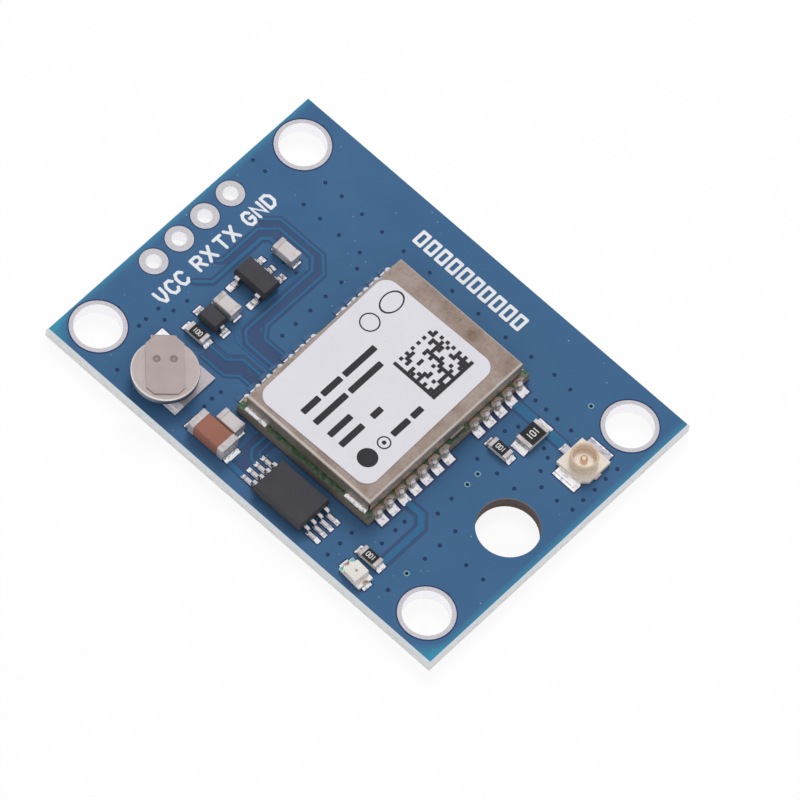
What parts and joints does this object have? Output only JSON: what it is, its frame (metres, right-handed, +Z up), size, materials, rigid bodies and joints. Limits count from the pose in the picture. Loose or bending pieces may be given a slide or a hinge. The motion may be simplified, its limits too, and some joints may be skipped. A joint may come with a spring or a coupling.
{
  "type": "gps module",
  "caption": "Flat circuit module with a shielded positioning receiver, coax aerial socket, backup cell, memory chip, lamp and a row of plated pin holes.",
  "frame": {"origin": "centre of the board outline on its underside", "axes": "+X along the long side from the pin row to the coax socket, +Y along the short side, +Z up out of the populated face"},
  "size_m": [0.0356, 0.026, 0.0037],
  "materials": {
    "mask_board": "blue solder mask, satin, with pale laminate edges",
    "hole_tin": "tin plated, soft shine",
    "carrier_green": "green solder mask",
    "edge_gold": "gold over copper",
    "solder": "reflowed solder, bright and uneven",
    "shield_metal": "nickel silver sheet with handling stains",
    "label_film": "matt white label film with plain dark print",
    "mould_black": "matt epoxy mould compound",
    "crystal_metal": "plain lid",
    "filter_ceramic": "plain fired ceramic",
    "lead_tin": "tinned leads",
    "resistor_ceramic": "white alumina",
    "resistor_coat": "dark glass coat with plain digits",
    "end_tin": "matt tin ends",
    "grey_ceramic": "pale grey fired ceramic",
    "brown_ceramic": "brown fired ceramic",
    "lamp_white": "white base",
    "lamp_gold": "gold over copper",
    "lamp_resin": "milky resin",
    "lamp_crystal": "light chip",
    "cell_steel": "satin stainless steel",
    "cell_seal": "moulded seal",
    "coax_cream": "cream moulding",
    "coax_gold": "gold plated"
  },
  "bodies": {
    "root": {"circuit_board": "mask_board", "mounting_hole_plating": "hole_tin", "pin_hole_plating": "hole_tin", "carrier_board": "carrier_green", "edge_contacts": "edge_gold", "edge_solder": "solder", "shield_solder": "solder", "regulator_solder": "solder", "diode_solder": "solder", "memory_solder": "solder", "chip_solder": "solder", "cell_solder": "solder", "coax_solder": "solder", "shield_can": "shield_metal", "receiver_label": "label_film", "receiver_chip": "mould_black", "regulator_body": "mould_black", "diode_body": "mould_black", "memory_body": "mould_black", "receiver_crystal": "crystal_metal", "aerial_filter": "filter_ceramic", "receiver_passives": "filter_ceramic", "regulator_leads": "lead_tin", "diode_leads": "lead_tin", "memory_leads": "lead_tin", "supply_resistor_body": "resistor_ceramic", "lamp_resistor_body": "resistor_ceramic", "signal_resistor_body": "resistor_ceramic", "aerial_resistor_body": "resistor_ceramic", "supply_resistor_coat": "resistor_coat", "lamp_resistor_coat": "resistor_coat", "signal_resistor_coat": "resistor_coat", "aerial_resistor_coat": "resistor_coat", "supply_resistor_ends": "end_tin", "lamp_resistor_ends": "end_tin", "signal_resistor_ends": "end_tin", "aerial_resistor_ends": "end_tin", "output_capacitor_ends": "end_tin", "input_capacitor_ends": "end_tin", "bulk_capacitor_ends": "end_tin", "receiver_capacitor_ends": "end_tin", "output_capacitor_body": "grey_ceramic", "input_capacitor_body": "grey_ceramic", "receiver_capacitor_body": "grey_ceramic", "bulk_capacitor_body": "brown_ceramic", "lamp_base": "lamp_white", "lamp_contacts": "lamp_gold", "lamp_lens": "lamp_resin", "lamp_chip": "lamp_crystal", "cell_can": "cell_steel", "cell_cap": "cell_steel", "cell_top_tab": "cell_steel", "cell_bottom_tab": "cell_steel", "cell_seal": "cell_seal", "coax_base": "coax_cream", "coax_shell": "coax_gold", "coax_pin": "coax_gold"}
  },
  "joints": []
}
